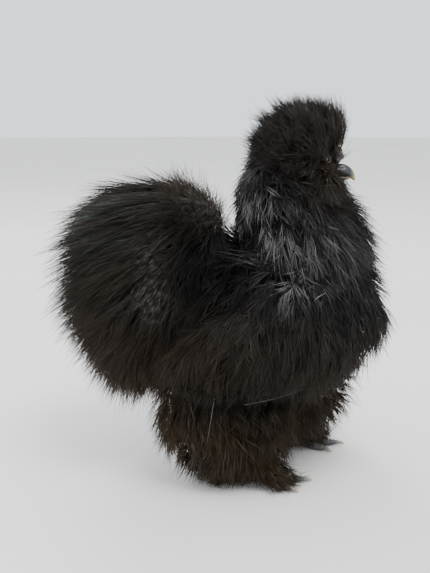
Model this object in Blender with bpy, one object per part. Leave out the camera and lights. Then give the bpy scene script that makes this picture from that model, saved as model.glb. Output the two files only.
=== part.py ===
"""A black, bearded Silkie chicken, standing: a life-size still model in named pieces.

The bird faces +X with its right side to -Y, and the floor is z = 0. Each feathered piece has two
surfaces with the same two coordinates: the bare body, and the tips of its plumage. A core lies
between them, and tapered locks run from inside the core out to the tips along the plumage's lie.
"""

import math
import random

import bmesh
import bpy
import numpy as np
from mathutils import Matrix, Vector
from mathutils.bvhtree import BVHTree

GAP = 0.0003
SEED = 12
CORE_SHARE = 0.5
CORE_FLOOR = 0.0078
ROOT_SHARES = (0.12, 0.24)
BURIED = 0.022
SPOTS = 1500
LOCK_STEPS = 5
LOCK_TAPER = (0.7, 1.0, 0.92, 0.62, 0.0)
LIFTS = (0.0, 0.004, 0.008)
SHORTER = (1.0, 0.8, 0.62)
SIDE = np.array((0.0, 1.0, 0.0))
PROBE = Vector((0.31, 0.52, 0.80)).normalized()

FOOT = {"r": (0.040, -0.038), "l": (0.080, 0.038)}
LEG_X = {"r": 0.003, "l": 0.058}
SIGN = {"r": -1, "l": 1}


def form(spine, deep, wide, blunt=2.4):
    """A rounded sleeve: points of its spine, its half depth and half width there, how blunt it ends."""
    return {"spine": spine, "deep": deep, "wide": wide, "blunt": blunt}


# Bare body and feather tips of the pieces on the middle plane, from rear to front or from top down.
TORSO_SKIN = form(
    spine=[(-0.055, 0, 0.158), (0.0, 0, 0.147), (0.05, 0, 0.141), (0.09, 0, 0.148), (0.125, 0, 0.165)],
    deep=[0.034, 0.050, 0.055, 0.052, 0.040],
    wide=[0.034, 0.048, 0.052, 0.048, 0.036],
)
TORSO_TIPS = form(
    spine=[(-0.090, 0, 0.120), (-0.02, 0, 0.132), (0.040, 0, 0.140), (0.092, 0, 0.150), (0.152, 0, 0.166)],
    deep=[0.070, 0.088, 0.083, 0.073, 0.062],
    wide=[0.066, 0.080, 0.084, 0.082, 0.064],
    blunt=2.8,
)
TAIL_SKIN = form(
    spine=[(-0.030, 0, 0.205), (-0.045, 0, 0.185), (-0.055, 0, 0.160), (-0.060, 0, 0.130)],
    deep=[0.026, 0.030, 0.030, 0.024],
    wide=[0.026, 0.032, 0.032, 0.024],
)
TAIL_TIPS = form(
    spine=[(-0.055, 0, 0.262), (-0.062, 0, 0.213), (-0.065, 0, 0.166), (-0.067, 0, 0.119),
           (-0.073, 0, 0.069)],
    deep=[0.080, 0.083, 0.079, 0.067, 0.038],
    wide=[0.058, 0.074, 0.080, 0.070, 0.044],
    blunt=3.1,
)
NECK_SKIN = form(
    spine=[(0.068, 0, 0.265), (0.068, 0, 0.240), (0.074, 0, 0.208), (0.090, 0, 0.170)],
    deep=[0.017, 0.020, 0.030, 0.038],
    wide=[0.016, 0.019, 0.029, 0.038],
)
NECK_TIPS = form(
    spine=[(0.055, 0, 0.279), (0.064, 0, 0.246), (0.076, 0, 0.208), (0.101, 0, 0.152)],
    deep=[0.032, 0.050, 0.061, 0.066],
    wide=[0.034, 0.048, 0.064, 0.074],
    blunt=2.8,
)
SKULL = form(
    spine=[(0.046, 0, 0.270), (0.072, 0, 0.277), (0.1025, 0, 0.2705)],
    deep=[0.014, 0.0175, 0.0105],
    wide=[0.012, 0.0150, 0.0085],
)
CREST_SKIN = form(
    spine=[(0.098, 0, 0.284), (0.080, 0, 0.286), (0.060, 0, 0.284), (0.042, 0, 0.270)],
    deep=[0.012, 0.014, 0.015, 0.013],
    wide=[0.010, 0.014, 0.014, 0.011],
)
CREST_TIPS = form(
    spine=[(0.109, 0, 0.290), (0.088, 0, 0.293), (0.062, 0, 0.287), (0.028, 0, 0.260)],
    deep=[0.024, 0.0355, 0.036, 0.026],
    wide=[0.028, 0.041, 0.043, 0.030],
    blunt=2.6,
)
BEARD_SKIN = form(
    spine=[(0.085, 0, 0.268), (0.084, 0, 0.258), (0.080, 0, 0.246)],
    deep=[0.015, 0.017, 0.015],
    wide=[0.013, 0.016, 0.014],
)
BEARD_TIPS = form(
    spine=[(0.071, 0, 0.269), (0.082, 0, 0.247), (0.093, 0, 0.221)],
    deep=[0.025, 0.034, 0.029],
    wide=[0.037, 0.044, 0.035],
)
WING_SKIN = form(
    spine=[(0.096, -0.052, 0.180), (0.050, -0.070, 0.152), (-0.030, -0.068, 0.122)],
    deep=[0.018, 0.026, 0.018],
    wide=[0.008, 0.010, 0.007],
)
WING_TIPS = form(
    spine=[(0.100, -0.060, 0.182), (0.045, -0.086, 0.146), (-0.040, -0.083, 0.112)],
    deep=[0.026, 0.044, 0.030],
    wide=[0.016, 0.021, 0.015],
)


def leg_coat(side):
    """A leg's two surfaces: thigh, shank and foot inside, and the fluff that falls round them."""
    foot_x, foot_y = FOOT[side]
    x, out = LEG_X[side], SIGN[side]
    skin = form(
        spine=[(x + 0.020, foot_y - 0.014 * out, 0.112), (x + 0.010, foot_y, 0.062),
               (foot_x - 0.004, foot_y, 0.030)],
        deep=[0.024, 0.018, 0.008],
        wide=[0.020, 0.016, 0.008],
    )
    tips = form(
        spine=[(x + 0.014, foot_y, 0.114), (x, foot_y, 0.060), (x + 0.042, foot_y, -0.004)],
        deep=[0.060, 0.066, 0.035],
        wide=[0.036, 0.038, 0.032],
        blunt=3.0,
    )
    return skin, tips


def smooth(values, u):
    """A Catmull-Rom curve through evenly spaced values, read at u from 0 to 1."""
    v = np.asarray(values, float)
    x = np.clip(u, 0, 1) * (len(v) - 1)
    i = np.clip(np.floor(x).astype(int), 0, len(v) - 2)
    t = x - i if v.ndim == 1 else (x - i)[..., None]
    before, here = v[np.maximum(i - 1, 0)], v[i]
    ahead, beyond = v[i + 1], v[np.minimum(i + 2, len(v) - 1)]
    square = 2 * before - 5 * here + 4 * ahead - beyond
    cube = 3 * here - before - 3 * ahead + beyond
    return 0.5 * (2 * here + (ahead - before) * t + square * t**2 + cube * t**3)


def sphere_points(count):
    """Points spread evenly over a unit sphere along a golden-angle spiral."""
    k = np.arange(count) + 0.5
    z = 1 - 2 * k / count
    turn = k * math.pi * (3 - math.sqrt(5))
    flat = np.sqrt(1 - z**2)
    return np.stack([flat * np.cos(turn), flat * np.sin(turn), z], -1)


def unit(v):
    return v / np.maximum(np.linalg.norm(v, axis=-1, keepdims=True), 1e-9)


def surface(shape, u, a):
    """Points of a form, u from pole to pole and a round it: 0 is the top of a level spine."""
    u, a = np.asarray(u, float), np.asarray(a, float)
    along = unit(smooth(shape["spine"], u + 0.02) - smooth(shape["spine"], u - 0.02))
    side = unit(SIDE - (along @ SIDE)[..., None] * along)
    up = np.cross(along, side)
    cap = np.sqrt(np.clip(1 - np.abs(2 * u - 1) ** shape["blunt"], 0, 1))
    deep = (smooth(shape["deep"], u) * cap * np.cos(a))[..., None]
    wide = (smooth(shape["wide"], u) * cap * np.sin(a))[..., None]
    return smooth(shape["spine"], u) + up * deep + side * wide


def between(coat, u, a, share):
    """A point between the bare body, share 0, and the feather tips, share 1."""
    bare, tips = surface(coat[0], u, a), surface(coat[1], u, a)
    return bare + (tips - bare) * np.asarray(share, float)[..., None]


def coat_point(coat, d, share):
    """The coat's point for a unit-sphere point d: its height gives u, and its bearing a."""
    return between(coat, (1 - d[..., 2]) / 2, np.arctan2(d[..., 1], d[..., 0]), share)


def sphere_point(u, a):
    """The unit-sphere point at u from the top pole and bearing a."""
    flat = np.sqrt(1 - (1 - 2 * u) ** 2)
    return np.array((flat * math.cos(a), flat * math.sin(a), 1 - 2 * u))


def walk(coat, lay, spot, length, top, swerve, root):
    """A lock's path from a sphere point along the coat's lie, rising to its tip: centres and outward."""
    shares = top * np.linspace(root / top, 1.0, LOCK_STEPS) ** 0.6
    centres, outs = [], []
    for share in shares:
        here = coat_point(coat, spot, share)
        out = unit(coat_point(coat, spot, 1.0) - coat_point(coat, spot, 0.0))
        lie = unit(unit(here - np.array(lay["crown"])) * lay["weight"] + np.array(lay["drift"]))
        lie = unit(lie + np.cross(out, lie) * swerve)
        centres.append(here)
        outs.append(out)
        first = unit(np.cross(spot, (0.3, 0.5, 0.81)))
        tangents = [first, np.cross(spot, first)]
        slopes = [(coat_point(coat, unit(spot + t * 1e-3), share) - here) * 1e3 for t in tangents]
        move, *_ = np.linalg.lstsq(np.stack(slopes, -1), lie * length / (LOCK_STEPS - 1), rcond=None)
        spot = unit(spot + tangents[0] * move[0] + tangents[1] * move[1])
    return np.array(centres), np.array(outs)


def material(name, colour, roughness):
    made = bpy.data.materials.new(name)
    made.use_nodes = True
    shader = made.node_tree.nodes["Principled BSDF"]
    shader.inputs["Base Color"].default_value = (*colour, 1)
    shader.inputs["Roughness"].default_value = roughness
    shader.inputs["Metallic"].default_value = 0
    return made


def link(name, mesh, paint=None, collection=None):
    thing = bpy.data.objects.new(name, mesh)
    (collection or BIRD).objects.link(thing)
    if paint:
        mesh.materials.clear()
        mesh.materials.append(paint)
    return thing


def mesh_of(bm, name):
    bmesh.ops.recalc_face_normals(bm, faces=bm.faces)
    mesh = bpy.data.meshes.new(name)
    bm.to_mesh(mesh)
    bm.free()
    return mesh


def wrapped(name, point_at, rings=9, sides=14, floor=-1.0):
    """A sphere whose points are carried to point_at(u, a): u from its top pole down, a round it."""
    bm = bmesh.new()
    bmesh.ops.create_uvsphere(bm, u_segments=sides, v_segments=rings, radius=1)
    at = np.array([v.co for v in bm.verts])
    points = point_at((1 - at[:, 2]) / 2, np.arctan2(at[:, 1], at[:, 0]))
    points[:, 2] = np.maximum(points[:, 2], floor)
    for vert, point in zip(bm.verts, points):
        vert.co = Vector(point)
    bmesh.ops.triangulate(bm, faces=bm.faces)
    return mesh_of(bm, name)


def swollen(mesh, by):
    """A copy of a smooth mesh with its faces moved out."""
    copy = mesh.copy()
    normals = [v.normal.copy() for v in copy.vertices]
    for vert, normal in zip(copy.vertices, normals):
        vert.co += normal * by
    return copy


def largest(mesh):
    """Keeps the largest closed surface of a mesh."""
    bm = bmesh.new()
    bm.from_mesh(mesh)
    left, best = set(bm.faces), []
    while left:
        group, edge = set(), [left.pop()]
        while edge:
            face = edge.pop()
            group.add(face)
            for near in {f for e in face.edges if len(e.link_faces) == 2 for f in e.link_faces} & left:
                left.discard(near)
                edge.append(near)
        if len(group) > len(best):
            best = group
    bmesh.ops.delete(bm, geom=[f for f in bm.faces if f not in best], context="FACES")
    bm.to_mesh(mesh)
    bm.free()


def combined(base, operation, others, solver="EXACT"):
    """The mesh of base joined with, or cut by, every mesh of others, in one Boolean."""
    helpers = bpy.data.collections.new("helpers")
    bpy.context.scene.collection.children.link(helpers)
    made = [link("helper", mesh, collection=helpers) for mesh in others]
    body = link("body", base, collection=bpy.context.scene.collection)
    step = body.modifiers.new("step", "BOOLEAN")
    step.operation = operation
    step.operand_type = "COLLECTION"
    step.collection = helpers
    step.solver = solver
    graph = bpy.context.evaluated_depsgraph_get()
    mesh = bpy.data.meshes.new_from_object(body.evaluated_get(graph))
    for thing in [body, *made]:
        bpy.data.objects.remove(thing)
    bpy.data.collections.remove(helpers)
    largest(mesh)
    return mesh


def tube(name, points, radii, sides=8):
    """A tapered limb along points with a radius at each, closed at both ends."""
    curve = bpy.data.curves.new(name, "CURVE")
    curve.dimensions = "3D"
    curve.bevel_depth = 1
    curve.bevel_resolution = (sides - 4) // 2
    curve.use_fill_caps = True
    spline = curve.splines.new("POLY")
    spline.points.add(len(points) - 1)
    for spot, point, radius in zip(spline.points, points, radii):
        spot.co = (*point, 1)
        spot.radius = radius
    thing = link(name, curve)
    graph = bpy.context.evaluated_depsgraph_get()
    mesh = bpy.data.meshes.new_from_object(thing.evaluated_get(graph))
    bpy.data.objects.remove(thing)
    bm = bmesh.new()
    bm.from_mesh(mesh)
    bmesh.ops.remove_doubles(bm, verts=bm.verts, dist=1e-6)
    return mesh_of(bm, name)


def ball(name, centre, radii, sides=14, rings=9, turn=0.0):
    """An ellipsoid, turned about the sideways axis."""
    bm = bmesh.new()
    bmesh.ops.create_uvsphere(bm, u_segments=sides, v_segments=rings, radius=1)
    place = Matrix.Translation(centre) @ Matrix.Rotation(turn, 4, "Y") @ Matrix.Diagonal((*radii, 1))
    bmesh.ops.transform(bm, matrix=place, verts=bm.verts)
    return mesh_of(bm, name)


def mirrored(shape):
    """A form on the other side of the bird."""
    return {**shape, "spine": [(p[0], -p[1], p[2]) for p in shape["spine"]]}


def tree_of(mesh):
    return BVHTree.FromPolygons([v.co for v in mesh.vertices], [p.vertices for p in mesh.polygons])


def depth_in(tree, point):
    """How deep a point lies inside a closed mesh, negative outside: a ray out of it crosses an odd number."""
    start, crossings = Vector(point), 0
    while (hit := tree.ray_cast(start, PROBE)[0]) is not None:
        crossings += 1
        start = hit + PROBE * 1e-6
    distance = tree.find_nearest(Vector(point))[3]
    return distance if crossings % 2 else -distance


def lock(path, half_width, half_thick, grow=0.0):
    """A flat tapered lock along a path: a three-sided sleeve with its ridge outward."""
    centres, outs = path

    def point_at(u, a):
        along = unit(smooth(centres, u + 0.03) - smooth(centres, u - 0.03))
        side = unit(np.cross(smooth(outs, u), along))
        taper = smooth(LOCK_TAPER, u)
        across = ((half_width * taper + grow) * np.sin(a))[:, None]
        rise = ((half_thick * np.sqrt(np.clip(taper, 0, 1)) + grow) * np.cos(a))[:, None]
        return smooth(centres, u) + side * across + np.cross(along, side) * rise

    return wrapped("lock", point_at, rings=4, sides=3)


def lifted_clear(path, cores, margin):
    """The path with its outer stations lifted out of neighbouring cores, or None if it is buried."""
    centres, outs = path[0].copy(), path[1]
    for k in range(1, len(centres)):
        for tree in cores:
            depth = depth_in(tree, centres[k])
            if depth > BURIED:
                return None
            if depth > -margin:
                near = np.array(tree.find_nearest(Vector(centres[k]))[0])
                away = unit((near - centres[k]) * np.sign(depth) + outs[k] * 1e-5)
                centres[k] = near + away * margin
    return centres, outs


def laid(path, half_width, half_thick, own, neighbours):
    """A lock on this path that stays clear of its neighbours, shorter or higher if need be, or None."""
    if depth_in(own, path[0][0]) < 0.5 * half_thick:
        return None
    clear = lifted_clear(path, [tree for kind, tree in neighbours if kind == "core"], half_thick + 2 * GAP)
    if clear is None:
        return None
    centres, outs = clear
    u = np.linspace(0, 1, LOCK_STEPS)
    for share in SHORTER:
        for lift in LIFTS:
            trial = smooth(centres, u * share) + smooth(outs, u * share) * (lift * u**0.7)[:, None]
            grown = tree_of(lock((trial, outs), half_width, half_thick, grow=1.5 * GAP))
            if not any(grown.overlap(tree) for _, tree in neighbours):
                return lock((trial, outs), half_width * (0.5 + 0.5 * share), half_thick)
    return None


# How each coat lies and is laid: locks run away from the crown by its weight plus the drift, and end
# at the top share. The last line of each is the locks' spacing, half width, length, half thickness.
LAY = {
    "crest": dict(
        crown=(0.082, 0, 0.282), weight=0.9, drift=(-0.32, 0, -0.25), top=1.08,
        lock=(0.0220, 0.0115, 0.028, 0.0022)),
    "beard": dict(
        crown=(0.085, 0, 0.285), weight=0.8, drift=(0.05, 0, -0.50), top=1.00,
        lock=(0.0210, 0.0105, 0.026, 0.0020)),
    "neck": dict(
        crown=(0.070, 0, 0.300), weight=0.5, drift=(0.0, 0, -0.80), top=1.10,
        lock=(0.0320, 0.0155, 0.054, 0.0026)),
    "wing": dict(crown=(0.120, 0, 0.230), weight=0.4, drift=(-0.70, 0, -0.50)),
    "tail": dict(
        crown=(-0.022, 0, 0.212), weight=0.9, drift=(-0.22, 0, -0.20), top=1.00,
        lock=(0.0405, 0.0190, 0.064, 0.0030)),
    "torso": dict(
        crown=(0.060, 0, 0.250), weight=0.3, drift=(-0.45, 0, -0.80), top=1.06,
        lock=(0.0380, 0.0180, 0.058, 0.0030)),
    "leg": dict(
        crown=(0.030, 0, 0.160), weight=0.25, drift=(-0.05, 0, -0.80), top=1.04,
        lock=(0.0400, 0.0190, 0.051, 0.0030)),
}
# Tiers of wing vanes: place from upper to lower edge, how many, length, half width, share at the tip.
WING_TIERS = (
    (0.62, 7, 0.054, 0.0090, 0.80),
    (0.38, 6, 0.044, 0.0090, 0.98),
    (0.14, 5, 0.036, 0.0090, 1.15),
)
VANE_THICK = 0.0009
TAIL_VANES = (7, 0.085, 0.0095)
TUFT = (6, 0.046, 0.0090)
TUFT_LAY = dict(crown=(-0.030, 0, 0.190), weight=0.8, drift=(0.25, 0, 0.6))


EYE = (0.0885, 0.0108, 0.2795)
EYE_RADIUS = 0.0050
LOBE = (0.0775, 0.0150, 0.2690)
COMB_CENTRE = (0.0995, 0, 0.2825)
TOES = (
    # name, bearing from straight ahead towards the middle plane, length, rise of the tip
    ("1", 158, 0.013, 0.0),
    ("2", 32, 0.024, 0.0),
    ("3", 0, 0.033, 0.0),
    ("4", -36, 0.026, 0.0),
    ("5", 128, 0.015, 0.010),
)
TOE_RADIUS = 0.0034
CLAW_LENGTH = 0.0085
SHANK_RADIUS = 0.0048


def cut(mesh, *neighbours):
    """The mesh with its neighbours, and the gap round them, cut away."""
    return combined(mesh, "DIFFERENCE", [swollen(n, 1.3 * GAP) for n in neighbours])


def sliced_flat(mesh):
    """What is above the floor, closed by a flat."""
    bm = bmesh.new()
    bm.from_mesh(mesh)
    geom = [*bm.verts, *bm.edges, *bm.faces]
    made = bmesh.ops.bisect_plane(bm, geom=geom, plane_co=(0, 0, 0), plane_no=(0, 0, 1), clear_inner=True)
    rim = [g for g in made["geom_cut"] if isinstance(g, bmesh.types.BMEdge)]
    bmesh.ops.triangle_fill(bm, edges=rim, use_dissolve=False)
    return mesh_of(bm, mesh.name)


def foot(side):
    """Shank, pad and five toes in one mesh, and the claws in front of the toes."""
    x, y = FOOT[side]
    inward = -SIGN[side]
    pad = np.array((x, y, 0.0))
    shank = tube("shank", [pad + p for p in ((-0.006, 0, 0.050), (-0.003, 0, 0.028), (0, 0, 0.005))],
                 [SHANK_RADIUS * 1.05, SHANK_RADIUS * 0.92, SHANK_RADIUS * 1.1])
    parts = [shank]
    claws = {}
    for name, bearing, length, rise in TOES:
        turn = math.radians(bearing)
        ahead = np.array((math.cos(turn), inward * math.sin(turn), 0.0))
        up = np.array((0, 0, 1.0))
        ball_z = TOE_RADIUS * 0.86
        stops = (-0.10, 0.28, 0.52, 0.78, 1.0)
        sizes = (1.1, 0.94, 1.08, 0.88, 0.72)
        points = [
            pad + ahead * (0.003 + length * s) + up * (ball_z + rise * max(s, 0) ** 1.4)
            for s in stops
        ]
        radii = [TOE_RADIUS * size for size in sizes]
        parts.append(tube("toe", points, radii, sides=6))
        tip, back = points[-1], points[-2]
        way = unit(tip - back)
        start = tip + way * GAP
        droop = np.array((0, 0, -1.0)) if rise == 0 else np.array((0.25, 0, 0.5))
        claw = [start + way * CLAW_LENGTH * s + droop * 0.0014 * s**2 for s in (0, 0.35, 0.7, 1.0)]
        claws[name] = tube("claw", claw, [0.0021, 0.0018, 0.0012, 0.0004], sides=6)
    parts.append(ball("pad", pad + (0, 0, 0.0035), (0.0085, 0.0075, 0.0058), 10, 7))
    whole = combined(parts[0], "UNION", parts[1:])
    return sliced_flat(whole), claws


def skull_mesh():
    return wrapped("head", lambda u, a: surface(SKULL, u, a), rings=10, sides=14)


def head():
    """Skull and face with raised lids, and the sockets that hold the eyes."""
    lids = []
    for sign in (-1, 1):
        bpy.ops.mesh.primitive_torus_add(
            major_radius=EYE_RADIUS * 0.93, minor_radius=0.0011, major_segments=14, minor_segments=5,
            location=(EYE[0], sign * (EYE[1] + 0.0030), EYE[2]), rotation=(math.pi / 2, 0, 0))
        ring = bpy.context.object
        ring.scale = (1.12, 0.86, 1)
        bpy.ops.object.transform_apply(location=True, rotation=True, scale=True)
        lid = ring.data.copy()
        bpy.data.objects.remove(ring)
        lids.append(lid)
    skull = combined(skull_mesh(), "UNION", lids)
    sockets = [ball("socket", (EYE[0], s * EYE[1], EYE[2]), [EYE_RADIUS + GAP] * 3) for s in (-1, 1)]
    return combined(skull, "DIFFERENCE", sockets)


def beak(skull):
    """Upper and lower bill, with the mouth's line between them and a nostril on each side."""
    upper = form(
        spine=[(0.0970, 0, 0.2695), (0.1060, 0, 0.2700), (0.1130, 0, 0.2665), (0.1172, 0, 0.2605)],
        deep=[0.0058, 0.0050, 0.0036, 0.0014], wide=[0.0056, 0.0048, 0.0034, 0.0012])
    lower = form(
        spine=[(0.0960, 0, 0.2625), (0.1060, 0, 0.2626), (0.1142, 0, 0.2630)],
        deep=[0.0030, 0.0024, 0.0012], wide=[0.0050, 0.0038, 0.0018])
    under = wrapped("beak_lower", lambda u, a: surface(lower, u, a), rings=7, sides=10)
    over = wrapped("beak_upper", lambda u, a: surface(upper, u, a), rings=9, sides=10)
    over = cut(over, under, skull)
    pit = (0.0019, 0.0014, 0.0008)
    pits = [ball("pit", (0.1045, s * 0.0050, 0.2722), pit, 8, 6, turn=0.25) for s in (-1, 1)]
    over = combined(over, "DIFFERENCE", pits)
    return over, cut(under, skull)


def comb(skull, bill):
    """A walnut comb: a low cushion of rounded bulbs on the forehead."""
    bulbs = []
    for k, d in enumerate(sphere_points(10)):
        if d[2] < -0.2:
            continue
        at = np.array(COMB_CENTRE) + d * (0.0054, 0.0048, 0.0046)
        size = 0.0034 + 0.0005 * math.sin(2.3 * k)
        bulbs.append(ball("bulb", at, (size, size, size * 0.92), sides=7, rings=5))
    whole = combined(ball("comb", COMB_CENTRE, (0.0058, 0.0052, 0.0052), sides=8, rings=5), "UNION", bulbs)
    return cut(whole, skull, bill)


def face_rooms():
    """What the plumage leaves free: each eye, each earlobe, the bill and the comb."""
    rooms = [
        ball("bill_room", (0.1180, 0, 0.2645), (0.0245, 0.0105, 0.0145), 10, 7),
        ball("comb_room", COMB_CENTRE, (0.0102, 0.0096, 0.0096), 8, 6),
    ]
    for sign in (-1, 1):
        eye = (EYE[0] + 0.001, sign * 0.030, EYE[2])
        lobe = (LOBE[0], sign * 0.030, LOBE[2])
        rooms.append(ball("eye_room", eye, (0.0108, 0.030, 0.0094), 10, 8))
        rooms.append(ball("lobe_room", lobe, (0.0068, 0.030, 0.0084), 10, 8))
    return rooms


def coats_of_bird():
    """The two surfaces of each feathered piece, in the order in which locks are laid."""
    return {
        "leg_r": leg_coat("r"),
        "leg_l": leg_coat("l"),
        "torso": (TORSO_SKIN, TORSO_TIPS),
        "tail": (TAIL_SKIN, TAIL_TIPS),
        "wing_r": (WING_SKIN, WING_TIPS),
        "wing_l": (mirrored(WING_SKIN), mirrored(WING_TIPS)),
        "neck": (NECK_SKIN, NECK_TIPS),
        "beard": (BEARD_SKIN, BEARD_TIPS),
        "crest": (CREST_SKIN, CREST_TIPS),
    }


def hard_parts(skull):
    """Head, bill, comb, eyes, earlobes, feet and claws."""
    solids = {"head": head()}
    solids["beak_upper"], solids["beak_lower"] = beak(skull)
    solids["comb"] = comb(skull, solids["beak_upper"])
    for side in "rl":
        y = SIGN[side]
        eye_at = (EYE[0], y * EYE[1], EYE[2])
        lobe_at = (LOBE[0], y * LOBE[1], LOBE[2])
        solids["eye_" + side] = ball("eye", eye_at, [EYE_RADIUS] * 3, sides=12, rings=8)
        lobe = ball("lobe", lobe_at, (0.0042, 0.0018, 0.0056), sides=10, rings=7)
        solids["earlobe_" + side] = cut(lobe, skull)
        solids["foot_" + side], claws = foot(side)
        for name, claw in claws.items():
            solids["claw_" + side + name] = claw
    return solids


def cores_of(coats, hard, skull):
    """The inner plumage of each piece, cut where it meets its neighbours."""
    made = {}
    for name, coat in coats.items():
        made[name] = wrapped(
            name, lambda u, a, c=coat: between(c, u, a, np.full_like(u, CORE_SHARE)), floor=CORE_FLOOR)

    uncut = {**hard, **{name: mesh.copy() for name, mesh in made.items()}, "skull": skull}

    def trim(name, *neighbours, rooms=()):
        cutters = [swollen(uncut[other], 1.3 * GAP) for other in neighbours]
        made[name] = combined(made[name], "DIFFERENCE", [*cutters, *rooms], solver="MANIFOLD")

    rooms = face_rooms()
    trim("tail", "torso")
    trim("crest", "skull", rooms=rooms)
    trim("beard", "skull", "crest", rooms=rooms)
    trim("neck", "torso", "tail", "skull", "crest", "beard", rooms=rooms)
    for side in "rl":
        wing, leg = "wing_" + side, "leg_" + side
        feet = [name for name in hard if name.startswith(("foot_" + side, "claw_" + side))]
        trim(wing, "torso", "tail", "neck")
        trim(leg, "torso", "tail", wing, *feet)
    return made


def wishes(name, chance):
    """Every vane and lock a coat asks for: its spacing, what its walk needs, half width and thickness."""
    lay = LAY[name.split("_")[0]]
    if name.startswith("wing"):
        outer = SIGN[name[-1]]
        for place, count, length, half, share in WING_TIERS:
            for k in range(count):
                spot = sphere_point(0.16 + 0.72 * (k + 0.5 * place) / count, outer * math.pi * (1 - place))
                grown = length * (0.85 + 0.4 * k / count)
                yield 0, (lay, spot, grown, share, chance.uniform(-0.08, 0.08)), half, VANE_THICK
        return
    if name == "tail":
        count, length, half = TUFT
        for k in range(count):
            spot = sphere_point(0.10 + 0.06 * (k % 2), 1.6 * (k / (count - 1) - 0.5))
            yield 0, (TUFT_LAY, spot, length, 1.30, chance.uniform(-0.2, 0.2)), half, 2 * VANE_THICK
        count, length, half = TAIL_VANES
        for k in range(count):
            spot = sphere_point(0.12 + 0.05 * (k % 3), math.pi + 1.9 * (k / (count - 1) - 0.5))
            yield 0, (lay, spot, length, 1.08, chance.uniform(-0.15, 0.15)), half, 1.6 * VANE_THICK
    spacing, half, length, thick = lay["lock"]
    for spot in sphere_points(SPOTS):
        grown = length * chance.uniform(0.85, 1.15)
        top = lay["top"] + chance.uniform(-0.08, 0.08)
        size = half * chance.uniform(0.85, 1.1)
        yield spacing, (lay, spot, grown, top, chance.uniform(-0.22, 0.22)), size, thick


def crowded(tip, tips, spacing):
    return bool(tips) and np.linalg.norm(np.array(tips) - tip, axis=-1).min() < spacing


def lay_locks(coats, cores, hard):
    """Lays the locks of every coat, each clear of all that isn't its own piece."""
    chance = random.Random(SEED)
    trees = {name: [("core", tree_of(mesh))] for name, mesh in cores.items()}
    trees |= {name: [("hard", tree_of(mesh))] for name, mesh in hard.items()}
    trees["rooms"] = [("room", tree_of(room)) for room in face_rooms()]
    locks = {name: [] for name in coats}
    for name, coat in coats.items():
        own = trees[name][0][1]
        neighbours = [pair for other, pairs in trees.items() if other != name for pair in pairs]
        laid_tips, missed_tips = [], []
        for spacing, way, half, thick in wishes(name, chance):
            tip = coat_point(coat, way[1], 1.0)
            if crowded(tip, laid_tips, spacing) or crowded(tip, missed_tips, 0.4 * spacing):
                continue
            tries = (laid(walk(coat, *way, root), half, thick, own, neighbours) for root in ROOT_SHARES)
            mesh = next((made for made in tries if made), None)
            if mesh:
                locks[name].append(mesh)
                trees[name].append(("lock", tree_of(mesh)))
            if spacing:
                (laid_tips if mesh else missed_tips).append(tip)
    return locks


def build():
    paints = {
        "crest": material("loose_plumage", (0.020, 0.017, 0.018), 0.8),
        "torso": material("body_plumage", (0.018, 0.017, 0.019), 0.75),
        "head": material("mulberry_skin", (0.035, 0.024, 0.032), 0.6),
        "beak": material("slate_horn", (0.06, 0.06, 0.055), 0.35),
        "comb": material("mulberry_comb", (0.07, 0.035, 0.05), 0.5),
        "earlobe": material("turquoise_lobe", (0.16, 0.30, 0.33), 0.5),
        "eye": material("dark_eye", (0.010, 0.007, 0.006), 0.05),
        "foot": material("slate_shank", (0.075, 0.075, 0.085), 0.55),
        "claw": material("pale_claw", (0.40, 0.38, 0.33), 0.4),
    }
    paints["beard"] = paints["tail"] = paints["crest"]
    paints["neck"] = paints["wing"] = paints["leg"] = paints["torso"]

    skull = skull_mesh()
    coats = coats_of_bird()
    hard = hard_parts(skull)
    cores = cores_of(coats, hard, skull)
    locks = lay_locks(coats, cores, hard)
    for name, core in cores.items():
        whole = combined(core, "UNION", locks[name], solver="MANIFOLD")
        hard[name] = sliced_flat(whole) if name.startswith("leg") else whole
    for name, mesh in hard.items():
        link(name, mesh, paints[name.split("_")[0]])


for thing in list(bpy.data.objects):
    bpy.data.objects.remove(thing)
BIRD = bpy.data.collections.new("silkie_chicken")
bpy.context.scene.collection.children.link(BIRD)
build()
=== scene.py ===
"""A black, bearded silkie chicken on a pale studio floor: skin, loose plumage in thin strands, face and feet.

The bird faces +X with its right side to -Y. Every feathered part has two surfaces with the same two
coordinates, the bare body and the tips of its plumage. Strands grow from the first to the second.
"""
import math

import bpy
import numpy as np
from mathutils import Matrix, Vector
from mathutils.bvhtree import BVHTree


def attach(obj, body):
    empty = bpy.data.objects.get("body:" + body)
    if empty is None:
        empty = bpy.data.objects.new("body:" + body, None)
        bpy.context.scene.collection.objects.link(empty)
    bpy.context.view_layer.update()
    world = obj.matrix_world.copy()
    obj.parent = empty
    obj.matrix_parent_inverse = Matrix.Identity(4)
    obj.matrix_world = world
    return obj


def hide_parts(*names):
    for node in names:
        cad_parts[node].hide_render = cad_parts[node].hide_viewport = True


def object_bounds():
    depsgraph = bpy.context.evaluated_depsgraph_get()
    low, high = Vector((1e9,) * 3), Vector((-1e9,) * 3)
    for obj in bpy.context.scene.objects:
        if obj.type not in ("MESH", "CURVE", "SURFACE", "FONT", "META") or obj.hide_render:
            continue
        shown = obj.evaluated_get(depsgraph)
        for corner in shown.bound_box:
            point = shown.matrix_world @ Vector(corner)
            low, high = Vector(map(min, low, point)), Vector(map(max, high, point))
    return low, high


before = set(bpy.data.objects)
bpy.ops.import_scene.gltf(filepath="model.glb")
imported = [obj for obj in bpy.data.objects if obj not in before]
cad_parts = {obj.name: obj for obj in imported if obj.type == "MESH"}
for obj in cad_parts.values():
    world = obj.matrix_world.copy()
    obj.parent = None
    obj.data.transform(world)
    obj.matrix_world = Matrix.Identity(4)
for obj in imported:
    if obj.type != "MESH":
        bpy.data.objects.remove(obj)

CAD_BOX = np.array(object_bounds())
RNG = np.random.default_rng(20)
SIDE = np.array((0.0, 1.0, 0.0))
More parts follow.
